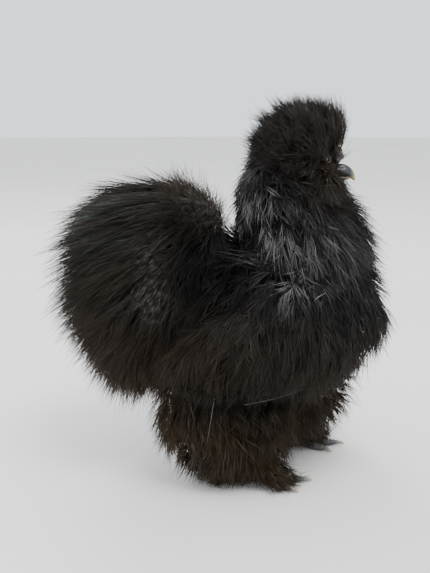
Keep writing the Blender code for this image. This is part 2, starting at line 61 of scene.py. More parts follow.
TAU = 2 * math.pi

FOOT = {"r": (0.040, -0.038), "l": (0.080, 0.038)}
LEG_X = {"r": 0.003, "l": 0.063}
SIGN = {"r": -1, "l": 1}
EYE = np.array((0.0885, 0.0108, 0.2795))
EYE_RADIUS = 0.0050
LOBE = np.array((0.0775, 0.0150, 0.2690))
COMB_CENTRE = np.array((0.0995, 0, 0.2825))
TOES = (("1", 158, 0.013, 0.0), ("2", 32, 0.024, 0.0), ("3", 0, 0.033, 0.0), ("4", -36, 0.026, 0.0),
        ("5", 128, 0.015, 0.010))
TOE_RADIUS = 0.0034
CLAW_LENGTH = 0.0085
SHANK_RADIUS = 0.0048
GAP = 0.0003


# ---- forms -------------------------------------------------------------------------------------

def form(spine, deep, wide, blunt=2.4):
    """A rounded sleeve: points of its spine, its half depth and half width there, how blunt it ends."""
    return {"spine": spine, "deep": deep, "wide": wide, "blunt": blunt}


def mirrored(shape):
    return {**shape, "spine": [(p[0], -p[1], p[2]) for p in shape["spine"]]}


def leg_forms(side):
    """The thigh and shank of a leg, and the fluff that falls round them to the floor."""
    foot_x, foot_y = FOOT[side]
    x, out = LEG_X[side], SIGN[side]
    skin = form(
        [(x + 0.010, foot_y - 0.012 * out, 0.112), (x + 0.004, foot_y, 0.062), (foot_x - 0.004, foot_y, 0.028)],
        [0.045, 0.044, 0.015], [0.026, 0.026, 0.011])
    tips = form(
        [(x + 0.004, foot_y, 0.116), (x + 0.010, foot_y, 0.062), (x + 0.038, foot_y, 0.004)],
        [0.065, 0.070, 0.052], [0.040, 0.042, 0.028], 2.7)
    return skin, tips


WING = (
    form([(0.096, -0.052, 0.180), (0.050, -0.070, 0.152), (-0.030, -0.068, 0.122)],
         [0.018, 0.026, 0.018], [0.008, 0.010, 0.007]),
    form([(0.092, -0.050, 0.166), (0.045, -0.084, 0.141), (-0.040, -0.082, 0.112)],
         [0.024, 0.042, 0.030], [0.015, 0.018, 0.014]),
)
SKULL = form([(0.046, 0, 0.270), (0.072, 0, 0.277), (0.1025, 0, 0.2705)],
             [0.014, 0.0175, 0.0105], [0.012, 0.0150, 0.0085])
COATS = {
    "torso": (
        form([(-0.055, 0, 0.158), (0.0, 0, 0.147), (0.05, 0, 0.141), (0.09, 0, 0.148), (0.125, 0, 0.165)],
             [0.034, 0.050, 0.055, 0.052, 0.040], [0.034, 0.048, 0.052, 0.048, 0.036]),
        form([(-0.090, 0, 0.120), (-0.02, 0, 0.132), (0.040, 0, 0.140), (0.092, 0, 0.150), (0.152, 0, 0.165)],
             [0.070, 0.088, 0.084, 0.076, 0.066], [0.066, 0.086, 0.095, 0.092, 0.070], 2.8)),
    "tail": (
        form([(-0.024, 0, 0.246), (-0.036, 0, 0.203), (-0.055, 0, 0.160), (-0.060, 0, 0.130)],
             [0.028, 0.036, 0.032, 0.024], [0.032, 0.038, 0.034, 0.024]),
        form([(-0.066, 0, 0.261), (-0.063, 0, 0.212), (-0.065, 0, 0.166), (-0.069, 0, 0.117), (-0.073, 0, 0.061)],
             [0.079, 0.083, 0.081, 0.071, 0.045], [0.058, 0.074, 0.080, 0.070, 0.046], 3.1)),
    "neck": (
        form([(0.052, 0, 0.280), (0.053, 0, 0.240), (0.070, 0, 0.208), (0.090, 0, 0.170)],
             [0.023, 0.032, 0.038, 0.042], [0.020, 0.027, 0.036, 0.044]),
        form([(0.051, 0, 0.294), (0.056, 0, 0.254), (0.076, 0, 0.207), (0.103, 0, 0.146)],
             [0.030, 0.043, 0.062, 0.070], [0.034, 0.046, 0.068, 0.081], 2.8)),
    "crest": (
        form([(0.098, 0, 0.284), (0.080, 0, 0.286), (0.060, 0, 0.284), (0.042, 0, 0.270)],
             [0.012, 0.014, 0.015, 0.013], [0.010, 0.014, 0.014, 0.011]),
        form([(0.111, 0, 0.286), (0.085, 0, 0.294), (0.062, 0, 0.286), (0.036, 0, 0.257)],
             [0.027, 0.036, 0.037, 0.025], [0.030, 0.042, 0.044, 0.029], 2.6)),
    "face": (
        SKULL,
        form([(0.048, 0, 0.264), (0.074, 0, 0.268), (0.105, 0, 0.269)],
             [0.030, 0.034, 0.018], [0.038, 0.046, 0.020], 2.6)),
    "beard": (
        form([(0.085, 0, 0.268), (0.084, 0, 0.258), (0.080, 0, 0.246)],
             [0.015, 0.017, 0.015], [0.013, 0.016, 0.014]),
        form([(0.070, 0, 0.266), (0.084, 0, 0.247), (0.100, 0, 0.222)],
             [0.024, 0.029, 0.029], [0.042, 0.046, 0.037])),
    "wing_r": WING,
    "wing_l": (mirrored(WING[0]), mirrored(WING[1])),
    "leg_r": leg_forms("r"),
    "leg_l": leg_forms("l"),
}

def boot_forms(side):
    """A foot's outer side, and the feathers that spread over it towards the outer toes."""
    x, y = FOOT[side]
    out = SIGN[side]
    bare = form([(x - 0.006, y, 0.034), (x + 0.002, y + 0.003 * out, 0.015), (x + 0.020, y + 0.005 * out, 0.006)],
                [0.006, 0.007, 0.005], [0.006, 0.008, 0.008])
    tips = form([(x - 0.008, y, 0.036), (x + 0.002, y + 0.006 * out, 0.018), (x + 0.030, y + 0.010 * out, 0.008)],
                [0.015, 0.017, 0.009], [0.017, 0.021, 0.018])
    return bare, tips


COATS["boot_r"] = boot_forms("r")
COATS["boot_l"] = boot_forms("l")
SADDLE = form([(-0.052, 0, 0.190), (0.0, 0, 0.176), (0.052, 0, 0.190)], [0.020, 0.027, 0.024], [0.030, 0.036, 0.030])

# How each coat grows: strands run away from the crown by its weight plus the drift, turned by up to
# about the swerve. Then the number of clumps, strands to a clump, stations on a strand, how much it
# curls, length, half width, the share where tips end, and how far strands fan out of their clump.
GROWTH = {
    "crest": dict(crown=(0.090, 0, 0.266), weight=1.0, drift=(-0.16, 0, -0.02), swerve=0.22, curl=0.16,
                  clumps=880, strands=13, steps=4, length=0.028, half=0.00029, top=1.03, fan=0.0044),
    "face": dict(crown=(0.112, 0, 0.276), weight=0.9, drift=(-0.25, 0, -0.10), swerve=0.30, curl=0.16,
                 clumps=700, strands=10, steps=3, length=0.016, half=0.00025, top=1.00, fan=0.0026),
    "beard": dict(crown=(0.085, 0, 0.285), weight=0.8, drift=(0.0, 0, -0.50), swerve=0.35, curl=0.18,
                  clumps=620, strands=11, steps=4, length=0.019, half=0.00028, top=0.98, fan=0.0032),
    "neck": dict(crown=(0.045, 0, 0.310), weight=0.35, drift=(0.15, 0, -0.80), swerve=0.20, curl=0.14,
                 clumps=1150, strands=12, steps=4, length=0.034, half=0.00037, top=1.02, fan=0.0046),
    "wing": dict(crown=(0.120, 0, 0.230), weight=0.35, drift=(-0.15, 0, -0.85), swerve=0.35, curl=0.18,
                 clumps=560, strands=12, steps=4, length=0.027, half=0.00038, top=0.98, fan=0.0050),
    "tail": dict(crown=(-0.016, 0, 0.222), weight=0.9, drift=(-0.16, 0, -0.28), swerve=0.28, curl=0.18,
                 clumps=1460, strands=12, steps=4, length=0.040, half=0.00041, top=0.99, fan=0.0060),
    "torso": dict(crown=(0.060, 0, 0.250), weight=0.3, drift=(-0.10, 0, -0.95), swerve=0.32, curl=0.18,
                  clumps=1600, strands=12, steps=4, length=0.032, half=0.00040, top=1.00, fan=0.0056),
    "leg": dict(crown=(0.030, 0, 0.200), weight=0.12, drift=(0.02, 0, -0.90), swerve=0.20, curl=0.16,
                clumps=580, strands=12, steps=4, length=0.028, half=0.00038, top=0.98, fan=0.0044),
    "boot": dict(crown=(0.020, 0, 0.060), weight=0.45, drift=(0.40, 0, -0.35), swerve=0.45, curl=0.25,
                 clumps=100, strands=9, steps=4, length=0.026, half=0.00028, top=1.00, fan=0.0034),
    "tuft": dict(crown=(-0.030, 0, 0.180), weight=0.6, drift=(0.22, 0, 0.60), swerve=0.40, curl=0.30,
                 clumps=250, strands=10, steps=4, length=0.034, half=0.00023, top=1.08, fan=0.0070),
    "wisp": dict(crown=(0.086, 0, 0.268), weight=1.0, drift=(-0.30, 0, 0.06), swerve=0.22, curl=0.12,
                 clumps=110, strands=7, steps=5, length=0.033, half=0.00031, top=1.42, fan=0.0034),
    "sickle": dict(crown=(-0.010, 0, 0.205), weight=0.9, drift=(-0.25, 0, -0.10), swerve=0.22, curl=0.10,
                   clumps=60, strands=12, steps=6, length=0.064, half=0.00034, top=1.03, fan=0.0036),
}
# The down under every coat: short, broad and close to the skin.
DOWN = dict(swerve=0.5, curl=0.15, strands=6, steps=3, length=0.026, half=0.00125, top=0.64, fan=0.0070)
DOWN_SHARE = {"neck": 0.80, "tail": 0.50, "torso": 0.36, "wing": 0.30, "leg": 0.80}


def smooth(values, u):
    """A Catmull-Rom curve through evenly spaced values, read at u from 0 to 1."""
    v = np.asarray(values, float)
    x = np.clip(u, 0, 1) * (len(v) - 1)
    i = np.clip(np.floor(x).astype(int), 0, len(v) - 2)
    t = x - i if v.ndim == 1 else (x - i)[..., None]
    before, here = v[np.maximum(i - 1, 0)], v[i]
    ahead, beyond = v[i + 1], v[np.minimum(i + 2, len(v) - 1)]
    square = 2 * before - 5 * here + 4 * ahead - beyond
    cube = 3 * here - before - 3 * ahead + beyond
    return 0.5 * (2 * here + (ahead - before) * t + square * t**2 + cube * t**3)


def unit(v):
    return v / np.maximum(np.linalg.norm(v, axis=-1, keepdims=True), 1e-9)


def surface(shape, u, a):
    """Points of a form: an ellipse round its spine, closed towards both ends. a = 0 is its top."""
    u, a = np.asarray(u, float), np.asarray(a, float)
    along = unit(smooth(shape["spine"], u + 0.02) - smooth(shape["spine"], u - 0.02))
    side = unit(SIDE - (along @ SIDE)[..., None] * along)
    up = np.cross(along, side)
    cap = np.sqrt(np.clip(1 - np.abs(2 * u - 1) ** shape["blunt"], 0, 1))
    deep = (smooth(shape["deep"], u) * cap * np.cos(a))[..., None]
    wide = (smooth(shape["wide"], u) * cap * np.sin(a))[..., None]
    return smooth(shape["spine"], u) + up * deep + side * wide


def coat_point(coat, d, share):
    """The coat's point for unit-sphere points d, from the bare body at share 0 to the tips at 1."""
    u, a = (1 - d[..., 2]) / 2, np.arctan2(d[..., 1], d[..., 0])
    bare, tips = surface(coat[0], u, a), surface(coat[1], u, a)
    return bare + (tips - bare) * np.asarray(share, float)[..., None]


# ---- meshes ------------------------------------------------------------------------------------

def place(name, points, faces, paint, slot, smooth_shade=True, uv=None, **marks):
    """A mesh object at the origin from whole arrays, with its marks as attributes of its points."""
    mesh = bpy.data.meshes.new(name)
    points = np.ascontiguousarray(points, np.float32)
    corners = faces.shape[1]
    mesh.vertices.add(len(points))
    mesh.vertices.foreach_set("co", points.ravel())
    mesh.loops.add(faces.size)
    mesh.loops.foreach_set("vertex_index", faces.ravel().astype(np.int32))
    mesh.polygons.add(len(faces))
    mesh.polygons.foreach_set("loop_start", np.arange(0, faces.size, corners, dtype=np.int32))
    mesh.update(calc_edges=True)
    mesh.polygons.foreach_set("use_smooth", np.full(len(faces), smooth_shade))
    for mark, values in {**markings_and_painted_light(points), **marks}.items():
        mesh.attributes.new(mark, "FLOAT", "POINT").data.foreach_set("value", np.asarray(values, np.float32))
    if uv is not None:
        mesh.uv_layers.new(name="OFBake").data.foreach_set("uv", uv[faces.ravel()].astype(np.float32).ravel())
    mesh.materials.append(paint)
    thing = bpy.data.objects.new(name, mesh)
    bpy.context.scene.collection.objects.link(thing)
    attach(thing, "root")
    return thing


def sheet_of(point_at, rows, columns):
    """A closed skin from point_at(u, a): a grid round u with one point at either pole."""
    u = np.linspace(0, 1, rows + 1)[1:-1]
    a = np.arange(columns) * TAU / columns
    uu, aa = np.meshgrid(u, a, indexing="ij")
    ring = point_at(uu.ravel(), aa.ravel())
    poles = point_at(np.array([0.0, 1.0]), np.array([0.0, 0.0]))
    points = np.concatenate([ring, poles])
    k = np.arange(rows - 2)[:, None] * columns
    j = np.arange(columns)[None, :]
    here, beside = k + j, k + (j + 1) % columns
    quads = np.stack([here, beside, beside + columns, here + columns], -1).reshape(-1, 4)
    tris = np.concatenate([quads[:, [0, 1, 2]], quads[:, [0, 2, 3]]])
    first, last = j[0], (rows - 2) * columns + j[0]
    top = np.stack([np.full(columns, len(ring)), (first + 1) % columns, first], -1)
    low = np.stack([np.full(columns, len(ring) + 1), last, (rows - 2) * columns + (j[0] + 1) % columns], -1)
    return points, outward(points, np.concatenate([tris, top, low]))


def outward(points, faces):
    """The triangles turned, all together, so that the closed mesh's volume is positive."""
    a, b, c = points[faces[:, 0]], points[faces[:, 1]], points[faces[:, 2]]
    return faces if np.sum(a * np.cross(b, c)) > 0 else faces[:, ::-1]


def joined(pieces):
    """Several (points, faces) pairs as one."""
    counts = np.cumsum([0] + [len(p) for p, _ in pieces])
    points = np.concatenate([p for p, _ in pieces])
    return points, np.concatenate([f + n for (_, f), n in zip(pieces, counts)])


def bump(points, centre, reach):
    """A smooth hill of height 1 round a place, with a reach along each axis."""
    return np.exp(-np.sum(((points - np.array(centre)) / np.array(reach)) ** 2, -1))


def markings_and_painted_light(points):
    """How brownish and dusty the bird is at a place, and where painted light lies on it: grey and greenish painted
    sheen, painted shade, and low down partly painted warm light from the floor. Both sides are alike.
    """
    p = np.array(points, float)
    p[:, 1] = np.abs(p[:, 1])
    # Brownish low on the body: partly the fluff's own tint, partly painted warm light thrown up from the floor. The
    # patches on the head, tail and flank are the plumage's own brown.
    low = 1 / (1 + np.exp((p[:, 2] - 0.105) / 0.016))
    rear = 1 / (1 + np.exp((p[:, 0] + 0.055) / 0.020))
    brown_and_painted_bounce = np.clip(0.9 * low + 0.45 * rear + 0.6 * bump(p, (0.094, 0, 0.276), (0.032, 0.06, 0.040))
                    + 0.6 * bump(p, (-0.020, 0, 0.255), (0.030, 0.05, 0.025))
                    + 0.5 * bump(p, (0.000, 0.09, 0.135), (0.060, 0.04, 0.028)), 0, 1)
    # Painted sheen: grey streaks where light glances off the glossy hackle, breast, nape and wing, and low near the
    # feet.
    silver = np.clip(bump(p, (0.046, 0.06, 0.206), (0.015, 0.04, 0.017))
                     + bump(p, (0.061, 0.06, 0.186), (0.015, 0.04, 0.015))
                     + 0.75 * bump(p, (0.086, 0.05, 0.202), (0.034, 0.06, 0.034))
                     + 0.75 * bump(p, (0.038, 0.02, 0.236), (0.022, 0.05, 0.028))
                     + 0.12 * bump(p, (0.027, 0.09, 0.142), (0.024, 0.03, 0.022))
                     + 0.7 * bump(p, (0.090, 0.045, 0.012), (0.022, 0.03, 0.018)), 0, 1)
    # Painted sheen: a greenish gloss over the top of the tail's rear.
    painted_green_sheen = np.clip(bump(p, (-0.105, 0.03, 0.228), (0.040, 0.08, 0.028)), 0, 1)
    dusty = np.clip(bump(p, (-0.052, 0.07, 0.171), (0.016, 0.03, 0.014))
                    + 0.7 * bump(p, (-0.052, 0.06, 0.204), (0.010, 0.04, 0.022))
                    + 0.95 * bump(p, (-0.012, 0, 0.252), (0.024, 0.05, 0.020)), 0, 1)
    # Painted shade: near-black over the saddle, the belly's underside and the flank under the wing, where shade falls.
    painted_shade = np.clip(bump(p, (-0.010, 0.05, 0.188), (0.036, 0.07, 0.036))
                   + 0.9 * bump(p, (0.030, 0.07, 0.088), (0.060, 0.05, 0.022))
                   + 0.4 * bump(p, (0.010, 0.09, 0.130), (0.050, 0.03, 0.022)), 0, 1)
    return {"brown_and_painted_bounce": brown_and_painted_bounce, "silver": silver, "painted_green_sheen": painted_green_sheen, "dusty": dusty, "painted_shade": painted_shade}


# ---- materials ---------------------------------------------------------------------------------

class Nodes:
    """A short way to write a material's nodes."""

    def __init__(self, name):
        self.material = bpy.data.materials.new(name)
        self.material.use_nodes = True
        self.tree = self.material.node_tree
        self.shader = self.tree.nodes["Principled BSDF"]

    def add(self, kind, **values):
        node = self.tree.nodes.new("ShaderNode" + kind)
        for key, value in values.items():
            if hasattr(node, key):
                setattr(node, key, value)
            else:
                node.inputs[key.replace("_", " ")].default_value = value
        return node

    def join(self, out, into):
        self.tree.links.new(out, into)

    def mark(self, name):
        return self.add("Attribute", attribute_name=name).outputs["Fac"]

    def noise(self, scale, detail=3.0, stretch=(1, 1, 1)):
        where = self.add("TexCoord").outputs["Object"]
        turn = self.add("Mapping")
        turn.inputs["Scale"].default_value = stretch
        self.join(where, turn.inputs["Vector"])
        made = self.add("TexNoise", Scale=scale, Detail=detail)
        self.join(turn.outputs["Vector"], made.inputs["Vector"])
        return made.outputs["Fac"]

    def ramp(self, value, low, high, bottom=0.0, top=1.0):
        made = self.add("MapRange")
        made.inputs["From Min"].default_value = low
        made.inputs["From Max"].default_value = high
        made.inputs["To Min"].default_value = bottom
        made.inputs["To Max"].default_value = top
        self.join(value, made.inputs["Value"])
        return made.outputs["Result"]

    def times(self, a, b):
        made = self.add("Math", operation="MULTIPLY", use_clamp=True)
        self.join(a, made.inputs[0])
        if isinstance(b, float):
            made.inputs[1].default_value = b
        else:
            self.join(b, made.inputs[1])
        return made.outputs[0]

    def mix(self, factor, a, b):
        made = self.add("Mix", data_type="RGBA")
        self.join(factor, made.inputs["Factor"])
        for value, socket in ((a, made.inputs[6]), (b, made.inputs[7])):
            if isinstance(value, tuple):
                socket.default_value = (*value, 1)
            else:
                self.join(value, socket)
        return made.outputs[2]

    def rough_bump(self, height, strength, distance):
        made = self.add("Bump")
        made.inputs["Strength"].default_value = strength
        made.inputs["Distance"].default_value = distance
        self.join(height, made.inputs["Height"])
        self.join(made.outputs["Normal"], self.shader.inputs["Normal"])

    def done(self, colour, roughness, **sockets):
        if isinstance(colour, tuple):
            self.shader.inputs["Base Color"].default_value = (*colour, 1)
        else:
            self.join(colour, self.shader.inputs["Base Color"])
        if isinstance(roughness, float):
            self.shader.inputs["Roughness"].default_value = roughness
        else:
            self.join(roughness, self.shader.inputs["Roughness"])
        for key, value in sockets.items():
            self.shader.inputs[key.replace("_", " ")].default_value = value
        return self.material


def marked_black_with_painted_light(n, black, tone=None):
    """Black that turns brownish or dusty where the bird's colour marks say, darkened by painted shade, and on strands
    with a tone also tinted grey or greenish by painted sheen.
    """
    patchy = n.ramp(n.noise(28.0), 0.35, 0.65, 0.55, 1.0)
    # Brownish where the mark says: the plumage's own tint, and low on the body also painted warm bounce light.
    colour = n.mix(n.times(n.mark("brown_and_painted_bounce"), patchy), black, (0.037, 0.0230, 0.0100))
    colour = n.mix(n.times(n.mark("dusty"), n.ramp(n.noise(190.0), 0.46, 0.64)), colour, (0.150, 0.140, 0.130))
    # Painted shade: near-black mixed in where the shade mark is high.
    colour = n.mix(n.mark("painted_shade"), colour, (0.0014, 0.0011, 0.0009))
    if tone is None:
        return colour
    # Painted sheen: strands with a high tone turn grey where the sheen mark says. On the loose shafts the same mark
    # gives their own pale grey.
    pale = n.ramp(tone, 0.46, 0.84)
    colour = n.mix(n.times(n.mark("silver"), pale), colour, (0.26, 0.26, 0.27))
    # Painted sheen: greenish grey on high-tone strands where the tail's gloss mark says.
    return n.mix(n.times(n.mark("painted_green_sheen"), pale), colour, (0.060, 0.080, 0.072))


def plumage_paint(name, black, painted_tip_light, gloss):
    """Barbs of one sort: their black, the pale brownish grey of painted light that their tips reach, and how glossy
    they are.
    """
    n = Nodes(name)
    tone, along = n.mark("tone"), n.mark("along")
    colour = marked_black_with_painted_light(n, black, tone)
    # Painted light: the outer part of high-tone strands is mixed towards a pale brownish grey, as if light catches the
    # tips.
    painted_tip_mix = n.times(n.ramp(tone, 0.58, 0.90), n.ramp(along, 0.30, 1.0, 0.0, 0.85))
    colour = n.mix(painted_tip_mix, colour, painted_tip_light)
    return n.done(colour, n.ramp(tone, 0.0, 1.0, 0.46, 0.64), Specular_IOR_Level=gloss)


def skin_paint():
    n = Nodes("mulberry_skin")
    colour = marked_black_with_painted_light(n, (0.0050, 0.0042, 0.0050))
    n.rough_bump(n.noise(700.0, 4.0), 0.35, 0.0006)
    return n.done(colour, 0.8, Specular_IOR_Level=0.2)


def face_paint():
    n = Nodes("mulberry_face")
    colour = n.mix(n.ramp(n.noise(420.0), 0.35, 0.7), (0.013, 0.009, 0.012), (0.030, 0.021, 0.026))
    n.rough_bump(n.noise(1500.0, 4.0), 0.5, 0.0005)
    return n.done(colour, 0.5)


def comb_paint():
    n = Nodes("walnut_comb")
    colour = n.mix(n.ramp(n.noise(300.0), 0.35, 0.7), (0.020, 0.016, 0.018), (0.055, 0.046, 0.050))
    n.rough_bump(n.noise(1400.0, 4.0), 0.6, 0.0005)
    return n.done(colour, n.ramp(n.noise(500.0), 0.3, 0.7, 0.35, 0.55))


def lobe_paint():
    n = Nodes("turquoise_lobe")
    colour = n.mix(n.ramp(n.noise(350.0), 0.3, 0.7), (0.14, 0.27, 0.31), (0.34, 0.47, 0.50))
    n.rough_bump(n.noise(1600.0, 3.0), 0.4, 0.0004)
    return n.done(colour, 0.45, Subsurface_Weight=0.1, Subsurface_Scale=0.002)


def beak_paint():
    n = Nodes("slate_beak")
    edge = n.ramp(n.mark("horn"), 0.0, 1.0)
    grain = n.ramp(n.noise(900.0, 4.0, (1, 1, 4)), 0.35, 0.7)
    slate = n.mix(grain, (0.010, 0.011, 0.012), (0.034, 0.035, 0.035))
    colour = n.mix(edge, slate, (0.28, 0.22, 0.11))
    n.rough_bump(grain, 0.15, 0.0003)
    return n.done(colour, n.ramp(grain, 0.0, 1.0, 0.30, 0.42))


def claw_paint():
    n = Nodes("pale_claw")
    tip = n.mark("horn")
    colour = n.mix(tip, (0.10, 0.09, 0.085), (0.34, 0.30, 0.24))
    n.rough_bump(n.noise(1100.0, 3.0, (1, 1, 3)), 0.12, 0.0003)
    return n.done(colour, 0.36)


def foot_paint():
    n = Nodes("slate_scales")
    dirt = n.ramp(n.noise(240.0), 0.45, 0.75)
    # Darker towards the floor: the mark read here rises with height, so the lowest 6 mm, the toes' undersides, get the
    # darker slate.
    scale = n.mark("scale")
    colour = n.mix(scale, (0.030, 0.031, 0.036), (0.090, 0.092, 0.102))
    colour = n.mix(n.times(dirt, 0.5), colour, (0.20, 0.16, 0.11))
    n.rough_bump(n.noise(1500.0, 3.0), 0.25, 0.0003)
    return n.done(colour, n.ramp(dirt, 0.0, 1.0, 0.42, 0.68))


def eye_paint():
    n = Nodes("black_brown_eye")
    colour = n.mix(n.mark("iris"), (0.004, 0.003, 0.003), (0.040, 0.016, 0.008))
    return n.done(colour, 0.04, Coat_Weight=1.0, Coat_Roughness=0.02)


# ---- plumage -----------------------------------------------------------------------------------

def walk(coat, lay, spots, lengths, roots, tops, swerves, steps=6):
    """Guides along the coat's lie for many roots at once: points and outward directions at each step.

    At each step the lie is laid on the coat's surface by solving for the two sphere directions that
    carry a point that way, and the share of the coat rises by a power of the way gone."""
    way = np.linspace(0, 1, steps)
    centres, outs, spot = [], [], spots
    for w in way:
        share = roots + (tops - roots) * w**0.6
        here = coat_point(coat, spot, share)
        out = unit(coat_point(coat, spot, np.ones(len(spot))) - coat_point(coat, spot, np.zeros(len(spot))))
        lie = unit(unit(here - np.array(lay["crown"])) * lay["weight"] + np.array(lay["drift"]))
        lie = unit(lie + np.cross(out, lie) * swerves[:, None])
        centres.append(here)
        outs.append(out)
        first = unit(np.cross(spot, (0.3, 0.5, 0.81)))
        second = np.cross(spot, first)
        slopes = [(coat_point(coat, unit(spot + t * 1e-3), share) - here) * 1e3 for t in (first, second)]
        aa, ab, bb = (np.sum(x * y, -1) for x, y in ((slopes[0], slopes[0]), (slopes[0], slopes[1]), (slopes[1], slopes[1])))
        step = lie * (lengths / (steps - 1))[:, None]
        pa, pb = np.sum(slopes[0] * step, -1), np.sum(slopes[1] * step, -1)
        det = np.maximum(aa * bb - ab**2, 1e-12)
        move = np.clip(np.stack([(pa * bb - pb * ab) / det, (pb * aa - pa * ab) / det], -1), -0.5, 0.5)
        spot = unit(spot + first * move[:, :1] + second * move[:, 1:])
    return np.stack(centres, 1), np.stack(outs, 1)


def along_guides(values, x):
    """Guide values (clumps, steps, 3) read at fractions x (clumps, strands, stations), straight on past the end."""
    at = x * (values.shape[1] - 1)
    i = np.clip(np.floor(at).astype(int), 0, values.shape[1] - 2)
    t = (at - i)[..., None]
    row = np.arange(len(values))[:, None, None]
    return values[row, i] * (1 - t) + values[row, i + 1] * t


def roots_on(coat, count):
    """Sphere points spread evenly over the coat's tips: picked by the area that each stands for."""
    k = np.arange(count * 7) + 0.5
    z, turn = 1 - 2 * k / len(k), k * math.pi * (3 - math.sqrt(5))
    flat = np.sqrt(1 - z**2)
    d = np.stack([flat * np.cos(turn), flat * np.sin(turn), z], -1)
    first = unit(np.cross(d, (0.3, 0.5, 0.81)))
    here = coat_point(coat, d, np.ones(len(d)))
    slopes = [coat_point(coat, unit(d + t * 1e-3), np.ones(len(d))) - here for t in (first, np.cross(d, first))]
    area = np.linalg.norm(np.cross(*slopes), axis=-1)
    return d[RNG.choice(len(d), count, replace=False, p=area / area.sum())]


def shell(coat, share):
    """A tree for finding what lies inside a coat at a share of its depth."""
    points, faces = sheet_of(lambda u, a: surface(coat[0], u, a) * (1 - share) + surface(coat[1], u, a) * share, 20, 28)
    return BVHTree.FromPolygons([Vector(p) for p in points], faces.tolist())


def depth_inside(tree, points):
    """How deep each point is inside a shell, negative outside."""
    found = np.empty(len(points))
    for i, point in enumerate(points):
        near, normal, _, _ = tree.find_nearest(Vector(point))
        found[i] = -(Vector(point) - near).dot(normal)
    return found


def strand_mesh(paths, outs, half):
    """Closed three-sided strands that end in a point, with the fraction of their length at each point.

    A section is a flat triangle across the strand, half as thick as it is wide, which narrows as
    the root of what is left of the length."""
    count, steps = paths.shape[:2]
    lie = unit(np.gradient(paths, axis=1))
    side = unit(np.cross(outs, lie))
    up = np.cross(lie, side)
    t = np.linspace(0, 1, steps)
    width = half[:, None] * np.minimum(1, 0.55 + 2.2 * t) * (1 - t) ** 0.55
    rings = []
    for turn in (0, TAU / 3, 2 * TAU / 3):
        rings.append(paths[:, :-1] + (side * (width * math.cos(turn))[..., None])[:, :-1]
                     + (up * (width * 0.5 * math.sin(turn))[..., None])[:, :-1])
    body = np.stack(rings, 2).reshape(count, -1, 3)
    points = np.concatenate([body, paths[:, -1:]], 1)
    faces = [(2, 1, 0)]
    for k in range(steps - 2):
        for j in range(3):
            a, b = 3 * k + j, 3 * k + (j + 1) % 3
            faces += [(a, b, b + 3), (a, b + 3, a + 3)]
    last = 3 * (steps - 2)
    faces += [(last + j, last + (j + 1) % 3, last + 3) for j in range(3)]
    faces = np.array(faces)
    size = points.shape[1]
    if np.sum(points[0][faces[:, 0]] * np.cross(points[0][faces[:, 1]], points[0][faces[:, 2]])) < 0:
        faces = faces[:, ::-1]
    every = (faces[None] + (np.arange(count) * size)[:, None, None]).reshape(-1, 3)
    along = np.append(np.repeat(t[:-1], 3), 1.0)
    across = np.append(np.tile((0.0, 1.0, 0.5), steps - 1), 0.5)
    return points.reshape(-1, 3), every, np.tile(along, count), np.tile(across, count), size


def clump_strands(coat, lay, spots, lengths, tops, root=0.15):
    """Strands of many clumps: barbs that leave a bent shaft in turn and fan out to its sides."""
    clumps, count, steps, fan = len(spots), lay["strands"], lay["steps"], lay["fan"]
    swerves = RNG.normal(0, lay["swerve"], clumps)
    guide, outs = walk(coat, lay, spots, lengths, np.full(clumps, root), tops, swerves)
    side = unit(np.cross(outs, np.gradient(guide, axis=1)))
    t = np.linspace(0, 1, steps)
    start = RNG.uniform(0, 0.38, (clumps, count))
    reach = RNG.uniform(0.55, 0.72, (clumps, count))
    x = start[..., None] + reach[..., None] * t
    spread = RNG.normal(0, 1, (2, clumps, count))[..., None]
    grow = 0.25 + 0.75 * x**1.2
    paths = along_guides(guide, x)
    out, across = along_guides(outs, x), along_guides(side, x)
    paths = paths + across * (spread[0] * grow * fan)[..., None] + out * (spread[1] * grow * fan * 0.45)[..., None]
    curls = (lay["curl"] * lengths)[:, None, None, None]
    bend = RNG.normal(0, 1, (clumps, count, 1, 3)) * curls * (t**2)[:, None]
    turned = RNG.normal(0, 0.6, (clumps, 1, 1, 3)) * curls * (t**1.5)[:, None]
    wave = RNG.normal(0, 0.0005, paths.shape) * t[:, None]
    paths = paths + bend * 0.55 + turned + wave
    paths[..., 2] = np.maximum(paths[..., 2], CLEAR_OF_FLOOR)
    return paths.reshape(-1, steps, 3), out.reshape(-1, steps, 3)


def plume(name, spots, shades, paths, outs, half, paint, slot):
    """One coat piece from strands: each strand's bake patch sits at its root on the skin's unwrap."""
    points, faces, along, across, size = strand_mesh(paths, outs, half)
    u, a = (1 - spots[:, 2]) / 2, np.arctan2(spots[:, 1], spots[:, 0])
    home = np.stack([0.02 + 0.95 * (a + math.pi) / TAU, 0.02 + 0.95 * u], -1)
    home = home + RNG.uniform(-0.004, 0.004, (len(paths), 2))
    uv = np.repeat(home, size, 0) + 0.003 * np.stack([across, along], -1)
    tone = np.repeat(0.60 * shades + 0.40 * RNG.random(len(paths)), size)
    return place(name, points, faces, paint, slot, uv=np.clip(uv, 0, 1), tone=tone, along=along)


BURIED = 0.009
CLEAR_OF_FLOOR = 0.0019
STRAY = 0.006
PIECE_TRIANGLES = 190000


def in_bounds(paths):
    """Strands that keep out of the bill and the comb, and near the frame's box."""
    inside = np.all((paths > CAD_BOX[0] - STRAY) & (paths < CAD_BOX[1] + STRAY), axis=(1, 2))
    clear = clear_of(paths.reshape(-1, 3), HARD_ROOMS).reshape(paths.shape[:2])
    return inside & np.all(clear, axis=1)


